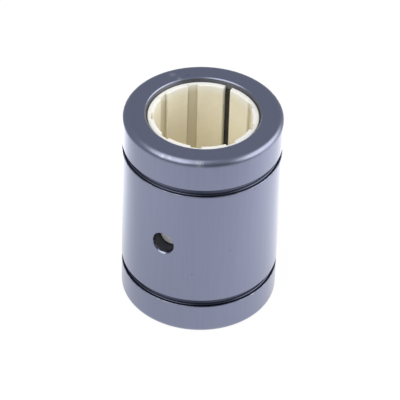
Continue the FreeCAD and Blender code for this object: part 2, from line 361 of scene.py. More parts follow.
class NodeGraph:
    """Adds nodes to a shader node tree and links them in one step."""

    def __init__(self, tree: bpy.types.NodeTree) -> None:
        """Works on the given tree."""
        self.tree = tree

    def add(self, kind: str, inputs: Inputs | None = None, **settings: object) -> bpy.types.Node:
        """Adds one node.

        Args:
            kind: the node's type, without the common first word.
            inputs: sockets to link or values to set, by input name or number.
            settings: the node's own options.

        Returns:
            The new node.
        """
        node = self.tree.nodes.new(f"ShaderNode{kind}")
        for name, value in settings.items():
            setattr(node, name, value)
        for name, value in (inputs or {}).items():
            if isinstance(value, Socket):
                self.tree.links.new(value, node.inputs[name])
            else:
                node.inputs[name].default_value = value
        return node

    def math(self, operation: str, *values: object) -> Socket:
        """The result of a Math node."""
        return self.add("Math", dict(enumerate(values)), operation=operation).outputs[0]

    def spread(
        self, value: object, low: object, high: object, to_low: object = 0.0, to_high: object = 1.0
    ) -> Socket:
        """Maps a value from one range to another, clamped and eased at both ends."""
        inputs = {"Value": value, "From Min": low, "From Max": high, "To Min": to_low, "To Max": to_high}
        return self.add("MapRange", inputs, interpolation_type="SMOOTHSTEP").outputs[0]

    def noise(self, place: Socket, scale: object, layers: float, rough: float = 0.5) -> Socket:
        """A noise with scale patches in a metre, and finer layers that each keep a share of the last."""
        inputs = {"Vector": place, "Scale": scale, "Detail": layers, "Roughness": rough}
        return self.add("TexNoise", inputs).outputs["Fac"]

    def vary(self, noise: Socket, low: float, high: float) -> Socket:
        """Turns a noise into numbers between two others."""
        return self.spread(noise, NOISE_LOW, NOISE_HIGH, low, high)

    def near(self, place: Socket, centre: Vector, size: float, value: float) -> Socket:
        """A number at a centre, which fades to nothing at a distance from it."""
        off = self.add("VectorMath", {0: place, 1: centre}, operation="DISTANCE").outputs["Value"]
        return self.spread(off, 0.0, size, value, 0.0)

    def blend(self, share: object, first: object, second: object, way: str = "MIX") -> Socket:
        """Mixes two colours."""
        inputs = {0: share, 6: first, 7: second}
        return self.add("Mix", inputs, data_type="RGBA", blend_type=way).outputs[2]

    def shade(self, colour: object, factor: Socket) -> Socket:
        """Multiplies a colour by one factor."""
        grey = self.add("CombineXYZ", {0: factor, 1: factor, 2: factor}).outputs[0]
        return self.blend(1.0, colour, grey, "MULTIPLY")

    def layered(self, base: Socket, layers: Sequence[tuple[Socket, Colour | float]]) -> Socket:
        """Lays colours or numbers over a base in turn, each as far as the share beside it says.

        Args:
            base: the colour or number at the bottom.
            layers: each layer's share, and its colour or number.

        Returns:
            The colour or number that shows.
        """
        for share, value in layers:
            if isinstance(value, float):
                base = self.add("Mix", {0: share, 2: base, 3: value}).outputs[0]
            else:
                base = self.blend(share, base, value)
        return base

    def bump(self, height: Socket, depth: float, under: Inputs | None = None) -> Socket:
        """A normal bumped to a depth, over the Normal in under where that is given."""
        inputs = {"Height": height, "Distance": depth, "Strength": 1.0} | (under or {})
        return self.add("Bump", inputs).outputs[0]

    def mark(self, mark: Mark) -> Socket:
        """Reads one of the piece's marks."""
        return self.add("Attribute", attribute_name=mark.value).outputs["Fac"]

    def shine(self, strength: object) -> Socket:
        """White light of a given strength."""
        return self.add("Emission", {"Color": tinted(WHITE, 1.0), "Strength": strength}).outputs[0]

    def choose(self, share: object, first: Socket, second: Socket) -> Socket:
        """Mixes two shaders."""
        return self.add("MixShader", {0: share, 1: first, 2: second}).outputs[0]


@dataclass(frozen=True)
class Rubbing:
    """How edges are rubbed, and how painted highlights on edges are broken up like rubbing.

    Attributes:
        size: of the rubbed patches.
        amount: how much of an edge is rubbed, from 0 to 1.
        strength: how far the colour of rubbed and painted-highlit edges shows.
    """

    size: float
    amount: float
    strength: float


@dataclass(frozen=True)
class Specks:
    """How specks are scattered.

    Attributes:
        spacing: of the cells that may hold one.
        size: of a speck.
        share: of the cells that hold one.
        strength: how far a speck's colour shows.
    """

    spacing: float
    size: float
    share: float
    strength: float


def new_group(
    name: str, numbers: Sequence[str], results: Sequence[str]
) -> tuple[NodeGraph, bpy.types.NodeOutputs, bpy.types.NodeInputs]:
    """Starts a shader node group that takes a Vector and numbers and puts out numbers.

    Args:
        name: the group's name.
        numbers: names of the numbers that it takes.
        results: names of the numbers that it puts out.

    Returns:
        The group's graph, the outputs of its input node and the inputs of its output node.
    """
    tree = bpy.data.node_groups.new(name, "ShaderNodeTree")
    tree.interface.new_socket("Vector", in_out="INPUT", socket_type="NodeSocketVector")
    for way, labels in (("INPUT", numbers), ("OUTPUT", results)):
        for label in labels:
            tree.interface.new_socket(label, in_out=way, socket_type="NodeSocketFloat")
    given, result = tree.nodes.new("NodeGroupInput"), tree.nodes.new("NodeGroupOutput")
    return NodeGraph(tree), given.outputs, result.inputs


def make_grain() -> bpy.types.NodeTree:
    """Fine irregular grain: a noise of a given grain size, and a slow drift ten times larger.

    Returns:
        The group.
    """
    graph, given, result = new_group("fine_grain", ["Size"], ["Grain", "Drift"])
    fine = graph.math("DIVIDE", 1.0, given["Size"])
    slow = graph.math("DIVIDE", fine, 10.0)
    graph.tree.links.new(graph.noise(given["Vector"], fine, layers=3.0, rough=0.6), result["Grain"])
    graph.tree.links.new(graph.noise(given["Vector"], slow, layers=2.0), result["Drift"])
    return graph.tree


def make_rubbing() -> bpy.types.NodeTree:
    """Where edges are rubbed, and where they carry painted highlights: the edge mark, broken up by noise
    that lets a given amount through.

    Returns:
        The group.
    """
    graph, given, result = new_group("rubbed_edges", ["Edge", "Size", "Amount"], ["Rubbed"])
    scale = graph.math("DIVIDE", 1.0, given["Size"])
    noise = graph.noise(given["Vector"], scale, layers=4.0, rough=0.65)
    threshold = graph.math("SUBTRACT", 1.0, given["Amount"])
    patches = graph.spread(noise, threshold, graph.math("ADD", threshold, PATCH_BLUR))
    graph.tree.links.new(graph.math("MULTIPLY", patches, given["Edge"]), result["Rubbed"])
    return graph.tree


def make_specks() -> bpy.types.NodeTree:
    """Scattered specks: cells of a given spacing, of which a share holds one dot of a given size.

    A dot is full within half its size from its middle, and gone at its size.

    Returns:
        The group.
    """
    graph, given, result = new_group("specks", ["Spacing", "Size", "Share"], ["Specks"])
    scale = graph.math("DIVIDE", 1.0, given["Spacing"])
    cells = graph.add("TexVoronoi", {"Vector": given["Vector"], "Scale": scale}).outputs
    size = graph.math("MULTIPLY", given["Size"], scale)
    dots = graph.spread(cells["Distance"], graph.math("MULTIPLY", size, 0.5), size, 1.0, 0.0)
    chance = graph.add("SeparateXYZ", {0: cells["Color"]}).outputs[0]
    chosen = graph.math("LESS_THAN", chance, given["Share"])
    graph.tree.links.new(graph.math("MULTIPLY", dots, chosen), result["Specks"])
    return graph.tree


@dataclass(frozen=True)
class Effects:
    """The effects that both finishes use, each a node group that is built once."""

    grain: bpy.types.NodeTree = field(default_factory=make_grain)
    rubbing: bpy.types.NodeTree = field(default_factory=make_rubbing)
    specks: bpy.types.NodeTree = field(default_factory=make_specks)

    def grained(self, graph: NodeGraph, place: Socket, size: float) -> tuple[Socket, Socket]:
        """Grain of a given size, and its drift."""
        outputs = graph.add("Group", {"Vector": place, "Size": size}, node_tree=self.grain).outputs
        return outputs["Grain"], outputs["Drift"]

    def rubbed_and_lit(self, graph: NodeGraph, place: Socket, how: Rubbing) -> Socket:
        """Where the piece's edges are rubbed, and where they carry painted highlights."""
        inputs = {"Vector": place, "Edge": graph.mark(Mark.EDGE), "Size": how.size, "Amount": how.amount}
        return graph.add("Group", inputs, node_tree=self.rubbing).outputs[0]

    def specked(self, graph: NodeGraph, place: Socket, how: Specks) -> Socket:
        """How far specks show on the piece.

        Args:
            graph: the material's graph.
            place: the Object coordinates.
            how: the specks' sizes and strength.

        Returns:
            The share of their colour.
        """
        inputs = {"Vector": place, "Spacing": how.spacing, "Size": how.size, "Share": how.share}
        specks = graph.add("Group", inputs, node_tree=self.specks).outputs[0]
        return graph.math("MULTIPLY", specks, how.strength)


def start_material(name: str) -> tuple[bpy.types.Material, NodeGraph, Socket]:
    """Makes an empty material.

    Args:
        name: the material's name.

    Returns:
        The material, its graph and the Object coordinates.
    """
    material = bpy.data.materials.new(name)
    material.use_nodes = True
    material.node_tree.nodes.clear()
    graph = NodeGraph(material.node_tree)
    return material, graph, graph.add("TexCoord").outputs["Object"]


@dataclass(frozen=True)
class Scuff:
    """A knocked or scratched spot at the upper end of the shell.

    Attributes:
        side: where round the shaft it is, in degrees from -Y.
        lean: how far over the rounded edge it is, in degrees: 0 on the outside and 90 on the end face.
        inset: how far in from the rounded edge it is.
        size: how far it reaches.
        share: how much of the layer is gone in its middle.
    """

    side: float
    lean: float
    inset: float
    size: float
    share: float

    def place(self, outer_radius: float, edge_radius: float, top: float) -> Vector:
        """Works out its middle.

        Args:
            outer_radius: the shell's.
            edge_radius: of its rounded edge.
            top: height of its end face.

        Returns:
            The middle's place.
        """
        side, lean = math.radians(self.side), math.radians(self.lean)
        radius = outer_radius - edge_radius * (1 - math.cos(lean)) - self.inset
        height = top - edge_radius * (1 - math.sin(lean))
        return Vector((radius * math.sin(side), -radius * math.cos(side), height))


@dataclass(frozen=True)
class AnodisedAluminium:
    """Blue-grey hard anodised aluminium, satin, with the faint rings that turning leaves.

    Attributes:
        colour: of the anodised surface.
        shade_and_speck_colour: of specks, and painted shade in the ring grooves, where the layer is also
        dull. The hole and the seat have some of the painted shade.
        bore_shade_colour: painted shade on the bore, its mouths and the hole, which are also dull.
        rub_and_highlight_colour: of edges that handling has polished, and a painted highlight on the groove
            lips.
        bare_colour: of the metal where a scratch has gone through the layer.
        roughness: of open surfaces.
        roughness_drift: how much it varies.
        recess_roughness: in the grooves, the hole and the bore.
        cut_roughness: of the countersink and, in part, the groove walls, cut after the shell was blasted.
        rubbed_roughness: on polished edges.
        bare_roughness: in scratches.
        grain_size: of the etched grain.
        grain_depth: how deep the grain goes.
        ring_pitch: of the turning rings.
        ring_depth: how deep they go.
        streak_width: of the faint streaks along the shell, left by drawing and by the bath.
        streak_stretch: how many times longer than wide they are.
        streak_depth: how much lighter or darker a streak is.
        scratch_width: of a scratch in a scuffed spot.
        scratch_limits: values of the scratches' noise at which they begin and are full.
        sheen: weight of the sealed layer's own gloss, which the recesses lack.
        sheen_roughness: of that gloss.
        sheen_ior: its index of refraction.
        rubbing: of edges, which also breaks up the groove lips' painted highlight.
        specks: small dark pits.
    """

    colour: Colour = (0.230, 0.249, 0.362, 1.0)
    shade_and_speck_colour: Colour = (0.042, 0.047, 0.076, 1.0)
    bore_shade_colour: Colour = (0.125, 0.127, 0.135, 1.0)
    rub_and_highlight_colour: Colour = (0.40, 0.42, 0.49, 1.0)
    bare_colour: Colour = (0.72, 0.74, 0.84, 1.0)
    roughness: float = 0.30
    roughness_drift: float = 0.01
    recess_roughness: float = 0.45
    cut_roughness: float = 0.13
    rubbed_roughness: float = 0.20
    bare_roughness: float = 0.5
    grain_size: float = 0.06 * MM
    grain_depth: float = 0.0004 * MM
    ring_pitch: float = 0.12 * MM
    ring_depth: float = 0.0003 * MM
    streak_width: float = 0.38 * MM
    streak_stretch: float = 25.0
    streak_depth: float = 0.02
    scratch_width: float = 0.16 * MM
    scratch_limits: tuple[float, float] = (0.45, 0.55)
    sheen: float = 0.3
    sheen_roughness: float = 0.3
    sheen_ior: float = 1.6
    rubbing: Rubbing = Rubbing(1.1 * MM, 0.58, 0.8)
    specks: Specks = Specks(2.4 * MM, 0.22 * MM, 0.2, 0.35)

    def material(self, effects: Effects, scuffs: dict[Scuff, Vector]) -> bpy.types.Material:
        """Builds the material from the shared effects.

        Args:
            effects: the node groups.
            scuffs: the scuffed spots and their middles.

        Returns:
            The material.
        """
        material, graph, place = start_material("anodised_aluminium")
        grain, drift = effects.grained(graph, place, self.grain_size)
        rubbed_and_lit = effects.rubbed_and_lit(graph, place, self.rubbing)
        bare = self.bare(graph, place, scuffs)
        recess, bored = graph.mark(Mark.RECESS), graph.mark(Mark.BORE)
        streaks = graph.vary(self.streaks(graph, place), 1 - self.streak_depth, 1 + self.streak_depth)
        # Painted shade on the bore, the grooves and the hole, then rubbed edges with painted lip highlights,
        # specks and bare scratches
        tone = graph.layered(graph.shade(self.colour, streaks), [
            (bored, self.bore_shade_colour),
            (recess, self.shade_and_speck_colour),
            (graph.math("MULTIPLY", rubbed_and_lit, self.rubbing.strength), self.rub_and_highlight_colour),
            (effects.specked(graph, place, self.specks), self.shade_and_speck_colour),
            (bare, self.bare_colour),
        ])
        smooth, dull = self.roughness - self.roughness_drift, self.roughness + self.roughness_drift
        rough = graph.layered(graph.vary(drift, smooth, dull), [
            (graph.math("MAXIMUM", recess, bored), self.recess_roughness),
            (graph.mark(Mark.CUT), self.cut_roughness),
            (rubbed_and_lit, self.rubbed_roughness),
            (bare, self.bare_roughness),
        ])
        etched = graph.bump(grain, self.grain_depth)
        shader = graph.add("BsdfPrincipled", {
            "Base Color": tone,
            "Metallic": 1.0,
            "Roughness": rough,
            "Normal": graph.bump(self.rings(graph, place), self.ring_depth, {"Normal": etched}),
            "Coat Weight": graph.spread(recess, 0.0, 1.0, self.sheen, 0.0),
            "Coat Roughness": self.sheen_roughness,
            "Coat IOR": self.sheen_ior,
        })
        graph.add("OutputMaterial", {"Surface": shader.outputs[0]})
        return material

    def bare(self, graph: NodeGraph, place: Socket, scuffs: dict[Scuff, Vector]) -> Socket:
        """Finds the bare metal in scuffed spots, which fade from their middles and which noise breaks up.

        Args:
            graph: the material's graph.
            place: the Object coordinates.
            scuffs: the scuffed spots and their middles.

        Returns:
            The share of bare metal.
        """
        bare: Socket | float = 0.0
        for scuff, middle in scuffs.items():
            bare = graph.math("MAXIMUM", bare, graph.near(place, middle, scuff.size, scuff.share))
        noise = graph.noise(place, 1 / self.scratch_width, layers=2.0)
        return graph.math("MULTIPLY", bare, graph.spread(noise, *self.scratch_limits))

    def streaks(self, graph: NodeGraph, place: Socket) -> Socket:
        """Makes streaks along the shell: a noise whose place is squeezed along the shaft's axis.

        Args:
            graph: the material's graph.
            place: the Object coordinates.

        Returns:
            The noise.
        """
        squeeze = {0: place, 1: (1.0, 1.0, 1 / self.streak_stretch)}
        squeezed = graph.add("VectorMath", squeeze, operation="MULTIPLY").outputs[0]
        return graph.noise(squeezed, 1 / self.streak_width, layers=3.0, rough=0.6)

    def rings(self, graph: NodeGraph, place: Socket) -> Socket:
        """Makes turning rings: a noise along radius plus height, which grows up a wall and out over an end.

        Args:
            graph: the material's graph.
            place: the Object coordinates.

        Returns:
            The noise.
        """
        parts = graph.add("SeparateXYZ", {0: place}).outputs
        squares = [graph.math("POWER", part, 2.0) for part in parts[:2]]
        along = graph.math("ADD", graph.math("SQRT", graph.math("ADD", *squares)), parts[2])
        inputs = {"W": along, "Scale": 1 / self.ring_pitch, "Detail": 2.0}
        return graph.add("TexNoise", inputs, noise_dimensions="1D").outputs["Fac"]


@dataclass(frozen=True)
class LinerPolymer:
    """Cream moulded bearing polymer, matt, and darker where its wall is thin over the metal.

    Attributes:
        colour: of the pads.
        end_glow_colour: painted light on the end faces and their rounded edges, paler than the bore, which
            also
        lies as a painted glow on the wall just below each end.
        thin_colour: of the thin groove floors.
        boss_shade_colour: painted shade on the boss's flat face and rounded edge, from the hole's wall round
            it.
        rub_and_highlight_colour: a painted light line along the pad edges, broken up like rubbed wear.
        speck_colour: of the solid lubricant's specks.
        tone_limits: how dark and how light the pads' colour drifts.
        roughness: of the moulded surface.
        roughness_drift: how much it varies.
        grain_size: of the mould's texture.
        grain_depth: how deep it goes.
        ior: index of refraction.
        gloss: specular level.
        glow: how much of the light goes into the wall before it comes out again.
        glow_tint: how far each part of that light goes, beside the others.
        glow_reach: how far it goes.
        rubbing: how the painted light line along the pad edges is broken up.
        specks: of the solid lubricant.
    """

    colour: Colour = (0.93, 0.88, 0.745, 1.0)
    end_glow_colour: Colour = (0.985, 0.98, 0.955, 1.0)
    thin_colour: Colour = (0.68, 0.64, 0.51, 1.0)
    boss_shade_colour: Colour = (0.62, 0.61, 0.60, 1.0)
    rub_and_highlight_colour: Colour = (0.95, 0.92, 0.82, 1.0)
    speck_colour: Colour = (0.55, 0.50, 0.38, 1.0)
    tone_limits: tuple[float, float] = (0.985, 1.01)
    roughness: float = 0.48
    roughness_drift: float = 0.05
    grain_size: float = 0.09 * MM
    grain_depth: float = 0.0015 * MM
    ior: float = 1.5
    gloss: float = 0.35
    glow: float = 0.5
    glow_tint: Tint = (1.0, 0.9, 0.7)
    glow_reach: float = 1.4 * MM
    rubbing: Rubbing = Rubbing(0.9 * MM, 0.65, 0.6)
    specks: Specks = Specks(0.9 * MM, 0.07 * MM, 0.3, 0.35)

    def material(self, effects: Effects) -> bpy.types.Material:
        """Builds the material from the shared effects.

        Args:
            effects: the node groups.

        Returns:
            The material.
        """
        material, graph, place = start_material("liner_polymer")
        grain, drift = effects.grained(graph, place, self.grain_size)
        rubbed_and_lit = effects.rubbed_and_lit(graph, place, self.rubbing)
        # Painted glow at the ends, painted shade on the boss face and a painted light line along the pad
        # edges
        tone = graph.layered(graph.shade(self.colour, graph.vary(drift, *self.tone_limits)), [
            (graph.mark(Mark.THIN), self.thin_colour),
            (graph.mark(Mark.END), self.end_glow_colour),
            (graph.mark(Mark.BOSS), self.boss_shade_colour),
            (graph.math("MULTIPLY", rubbed_and_lit, self.rubbing.strength), self.rub_and_highlight_colour),
            (effects.specked(graph, place, self.specks), self.speck_colour),
        ])
        smooth, dull = self.roughness - self.roughness_drift, self.roughness + self.roughness_drift
        shader = graph.add("BsdfPrincipled", {
            "Base Color": tone,
            "Roughness": graph.vary(grain, smooth, dull),
            "Normal": graph.bump(grain, self.grain_depth),
            "IOR": self.ior,
            "Specular IOR Level": self.gloss,
            "Subsurface Weight": self.glow,
            "Subsurface Radius": self.glow_tint,
            "Subsurface Scale": self.glow_reach,
        })
        graph.add("OutputMaterial", {"Surface": shader.outputs[0]})
        return material


def mount(name: str) -> dict:
    """One of the record's mounts."""
    return next(entry for entry in frame["record"]["mounts"] if entry["name"] == name)


def dress(piece: bpy.types.Object, material: bpy.types.Material, node: str) -> None:
    """Gives a piece its material and lets it stand for a node of the frame.

    Args:
        piece: the finished piece.
        material: its finish.
        node: the node that it stands for.
    """
    piece.data.materials.append(material)
    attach(piece, "root")
    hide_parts(node)
    log.info("%s: %d points, %d faces", piece.name, len(piece.data.vertices), len(piece.data.polygons))


@dataclass(frozen=True)
class AdapterShell:
    """The turned shell: rounded ends, a bore with lead-in tapers, two ring grooves and a countersunk hole.

    The upper half of its section is a path from the hole's window up the outside, over the end and down the
    bore. The lower half is its mirror image.

    Attributes:
        node: the frame's node that it stands for.
        wall: its thickness.
        edge_radius: rounding of the outer end edges.
        mouth_break: 45 degree broken edge at both mouths of the bore.
        lead_in_width: how far the bore's taper, which lets the liner slide in, widens it.
        lead_in_depth: how deep that taper goes.
        lip_radius: rounding of the ring grooves' edges.
        tool_radius: rounding that the grooving tool leaves in the corners of a ring groove.
        crease_radius: rounding of the corners on tapers.
        hole_radius: of the securing hole.
        countersink: how much wider the countersink is than the hole, at the outside.
        seat_shade: how far the seat behind the liner has the recesses' painted shade.
        taper_shade: how far the taper has the bore's painted shade.
        groove_shade: how far a ring groove's lower wall, floor and upper wall have the recesses' painted
            shade.
        groove_cut: how smoothly cut those three are.
        hole_bore: how far the hole's wall has the bore's painted shade, outside and inside.
        hole_shade: how far it has the recesses' painted shade, outside and inside.
        unlit_lip_side: where round the shaft, from -Y, the ring grooves' lips get no painted highlight; it
            faces the camera.
        floor_painted_light: how much of their floors' painted shade gives way to painted light a quarter
            turn from there.
        lip_highlight: how strong the painted highlight on their lower and upper edges is there, where full
            is 1.
        end_rub: how far the rounded end edges are rubbed.
        mouth_rub: how far the corners at the mouths are.
        scuffs: knocked and scratched spots at the upper end.
    """

    node: str = "adapter_shell"
    wall: float = 4.0 * MM
    edge_radius: float = 1.0 * MM
    mouth_break: float = 0.15 * MM
    lead_in_width: float = 0.35 * MM
    lead_in_depth: float = 1.0 * MM
    lip_radius: float = 0.15 * MM
    tool_radius: float = 0.2 * MM
    crease_radius: float = 0.06 * MM
    hole_radius: float = 1.9 * MM
    countersink: float = 0.2 * MM
    seat_shade: float = 0.5
    taper_shade: float = 0.8
    groove_shade: tuple[float, float, float] = (0.8, 1.0, 1.0)
    groove_cut: tuple[float, float, float] = (0.3, 0.6, 0.6)
    hole_bore: tuple[float, float] = (0.7, 1.0)
    hole_shade: tuple[float, float] = (0.5, 0.35)
    unlit_lip_side: float = math.radians(27)
    floor_painted_light: float = 0.5
    lip_highlight: tuple[float, float] = (1.5, 1.2)
    end_rub: float = 0.1
    mouth_rub: float = 0.3
    scuffs: tuple[Scuff, ...] = (
        Scuff(-2.7, 38, 0.0, 0.5 * MM, 0.8),
        Scuff(3.5, 50, 0.0, 0.4 * MM, 0.5),
        Scuff(25.4, 38, 0.0, 1.0 * MM, 0.55),
        Scuff(-125, 90, 0.76 * MM, 0.8 * MM, 0.55),
        Scuff(-128, 90, 2.2 * MM, 0.6 * MM, 0.65),
    )

    # Cells round the shaft, along the section's arcs and runs, and in half the hole's window
    columns: int = 240
    arc_cells: int = 8
    run_cells: int = 6
    window_cells: int = 9

    # Cells from the window to the hole, outside and on the seat, and rings on the cone and the hole's wall
    web_cells: int = 8
    seat_web_cells: int = 4
    cone_rings: int = 3
    wall_rings: int = 8

    # Rounds in which the countersink's rim is found
    rim_rounds: int = 6

    @property
    def outer_radius(self) -> float:
        """Half the node's width."""
        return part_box(self.node)[1].x

    @property
    def seat_radius(self) -> float:
        """Radius of the bore that the liner sits in."""
        return self.outer_radius - self.wall

    @property
    def seat_marks(self) -> Marks:
        """Marks of that bore: dull, with painted shade."""
        return {Mark.BORE: 1.0, Mark.RECESS: self.seat_shade}

    @property
    def length(self) -> float:
        """Height of the node."""
        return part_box(self.node)[1].z

    @property
    def middle(self) -> float:
        """Height of the securing hole."""
        return self.length / 2

    @property
    def hole(self) -> RadialFeature:
        """The securing hole's window in the sleeve's grid, as high as it is wide."""
        half_angle = self.window_cells * FULL_TURN / self.columns
        return RadialFeature(self.middle, half_angle, self.outer_radius * half_angle, self.window_cells)

    def section(self) -> RoundedPath:
        """Lays out the upper half of the wall's section.

        Returns:
            A path of radius and height.
        """
        outside, seat, top = self.outer_radius, self.seat_radius, self.length
        start = self.middle + self.hole.half_height
        groove = mount("upper_ring_groove")
        floor, half = groove["dims"]["r_mm"] * MM, groove["dims"]["length_mm"] * MM / 2
        centre = groove["pos_m"][2]
        corners = np.array([
            (outside, start),
            (outside, centre - half),
            (floor, centre - half),
            (floor, centre + half),
            (outside, centre + half),
            (outside, top),
            (seat + self.lead_in_width + self.mouth_break, top),
            (seat + self.lead_in_width, top - self.mouth_break),
            (seat, top - self.mouth_break - self.lead_in_depth),
            (seat, start),
        ])
        lip, tool, crease = self.lip_radius, self.tool_radius, self.crease_radius
        radii = np.array([lip, tool, tool, lip, self.edge_radius, crease / 2, crease / 2, crease])
        return RoundedPath(corners, radii, self.arc_cells, self.run_cells)

    def section_marks(self, section: RoundedPath, angles: Array) -> Marks:
        """Marks of the section's points, turned about the shaft.

        Its runs are the outside below the ring groove, the groove's lower wall, floor and upper wall, the
        outside above it, the end face, the mouth's broken edge, the taper and the seat. The painted
        highlight on the lips and the painted light on the groove floors grow as |sin(angle)| away from the
        unlit lip side and its opposite.

        Args:
            section: the section's path.
            angles: angles round the shaft, from -Y.

        Returns:
            The marks, each as points x 1 or points x angles.
        """
        # Painted shade in the grooves, taper and seat; painted light on the groove floors and painted
        # highlights on the lips, both zero on the side that faces the camera
        aside = np.abs(np.sin(angles - self.unlit_lip_side))
        lower, upper = self.lip_highlight
        lip_highlights = section.mark_arcs([lower, 0, 0, upper, 0, 0, 0, 0])
        edge = section.mark_arcs([0, 0, 0, 0, self.end_rub, self.mouth_rub, self.mouth_rub, 0])
        recess = section.mark_runs([0, *self.groove_shade, 0, 0, 0, 0, self.seat_shade])
        lit_floor = section.mark_runs([0, 0, self.floor_painted_light, 0, 0, 0, 0, 0, 0])
        return {
            Mark.RECESS: recess - lit_floor * aside,
            Mark.EDGE: np.minimum(edge + lip_highlights * aside, 1),
            Mark.BORE: section.mark_runs([0, 0, 0, 0, 0, 0, 0, self.taper_shade, 1]),
            Mark.CUT: section.mark_runs([0, *self.groove_cut, 0, 0, 0, 0, 0]),
        }

    def countersink_rim(self) -> Array:
        """Finds where the countersink's cone meets the outside.

        The cone narrows by as much as the wall falls away from the plane that touches it, so the rim's
        radius is the fixed point of radius = widest - (outside - sqrt(outside^2 - (radius cos turn)^2)),
        reached in a few rounds.

        Returns:
            n x 2 outline.
        """
        widest = self.hole_radius + self.countersink
        across = np.cos(FULL_TURN * self.hole.share)
        radius = np.full_like(across, widest)
        for _ in range(self.rim_rounds):
            radius = widest - (self.outer_radius - np.sqrt(self.outer_radius**2 - (radius * across) ** 2))
        return self.hole.circle(radius)

    def add_hole(self, surface: Surface) -> None:
        """Adds the webs round the hole, its countersink and its wall.

        Args:
            surface: what the patches are added to.
        """
        hole, bore, rim = self.hole, self.hole.circle(self.hole_radius), self.countersink_rim()
        outer, inner = self.outer_radius, self.seat_radius
        cone_foot = hole.place(bore, outer - self.countersink)
        cone = np.linspace(hole.wrap(rim, outer), cone_foot, self.cone_rings)
        wall = np.linspace(cone_foot, hole.wrap(bore, inner), self.wall_rings)
        # The hole's wall carries painted shade, changing from its outside to its inside
        bored = np.linspace(*self.hole_bore, self.wall_rings)[:, None]
        recess = np.linspace(*self.hole_shade, self.wall_rings)[:, None]
        surface.add_patch(hole.web(rim, outer, self.web_cells))
        surface.add_patch(cone, {Mark.CUT: 1.0})
        surface.add_patch(wall, {Mark.BORE: bored, Mark.RECESS: recess})
        surface.add_patch(hole.web(bore, inner, self.seat_web_cells), self.seat_marks)

    def build(self, finish: AnodisedAluminium, effects: Effects) -> bpy.types.Object:
        """Makes the shell and dresses it.

        Args:
            finish: the aluminium's finish.
            effects: the node groups.

        Returns:
            The piece.
        """
        surface, section = Surface(), self.section()
        angles = np.linspace(0, FULL_TURN, self.columns + 1)
        turned = lathe(section.points(), angles)
        surface.add_mirrored(turned, self.middle, self.section_marks(section, angles))

        beside = angles[self.window_cells : self.columns - self.window_cells + 1]
        levels = self.middle + self.hole.half_height * np.linspace(-1, 1, 2 * self.window_cells + 1)
        for radius, marks in ((self.outer_radius, {}), (self.seat_radius, self.seat_marks)):
            wall = np.stack([np.full_like(levels, radius), levels], axis=1)
            surface.add_patch(lathe(wall, beside), marks)
        self.add_hole(surface)
        piece = surface.build("turned_shell")
        edge = self.outer_radius, self.edge_radius, self.length
        material = finish.material(effects, {scuff: scuff.place(*edge) for scuff in self.scuffs})
        dress(piece, material, self.node)
        return piece


def turn_plan(points: Array, angle: float) -> Array:
    """Turns places in a plan about the shaft's axis."""
    cos, sin = math.cos(angle), math.sin(angle)
    return points @ np.array([[cos, sin], [-sin, cos]])


def stand(plan: Array, levels: Array) -> Array:
    """Stands plans (rows x columns x 2) on their rows' levels, turned so that their +X points to +Y."""
    height = np.broadcast_to(levels[:, None], plan.shape[:2])
    return np.stack([-plan[..., 1], plan[..., 0], height], axis=-1)


